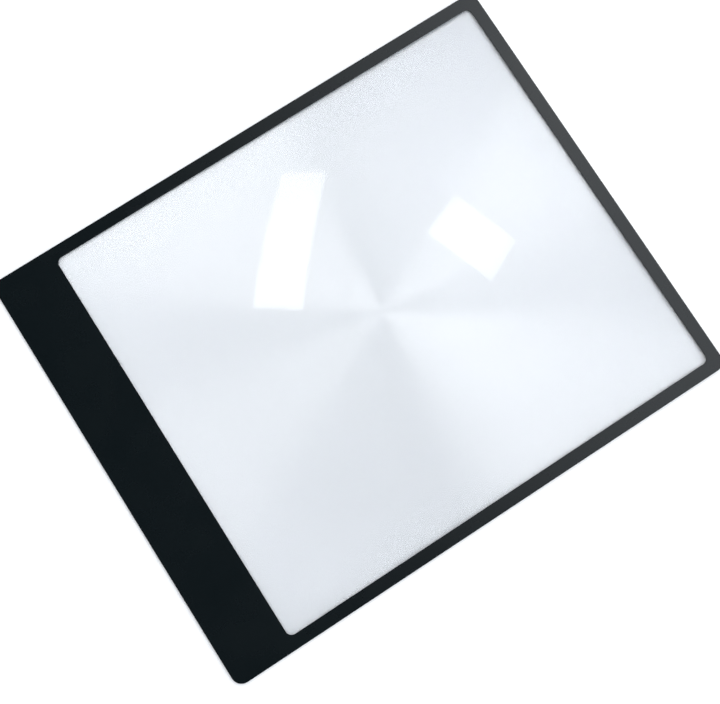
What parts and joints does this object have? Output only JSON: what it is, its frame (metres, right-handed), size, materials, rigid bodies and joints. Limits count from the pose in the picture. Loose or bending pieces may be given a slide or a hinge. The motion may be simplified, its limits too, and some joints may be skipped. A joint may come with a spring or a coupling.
{
  "type": "magnifying glass",
  "caption": "Flat full-page sheet magnifier: a clear grooved lens sheet in a black border, one side widened into a grip.",
  "frame": {"origin": "centre of the face that the sheet lies on, in the plane of that face", "axes": "+X from the grip to the far rim, +Y across the sheet, +Z out of the front face towards the reader"},
  "size_m": [0.26, 0.2094, 0.0012],
  "materials": {
    "black_border": "satin black vinyl with a very fine grain",
    "adhesive_film": "clear transfer adhesive",
    "clear_sheet": "clear, polished, with fine circular lens grooves on its front"
  },
  "bodies": {
    "root": {"back_border": "black_border", "back_adhesive": "adhesive_film", "lens_sheet": "clear_sheet", "front_adhesive": "adhesive_film", "front_border": "black_border"}
  },
  "joints": []
}
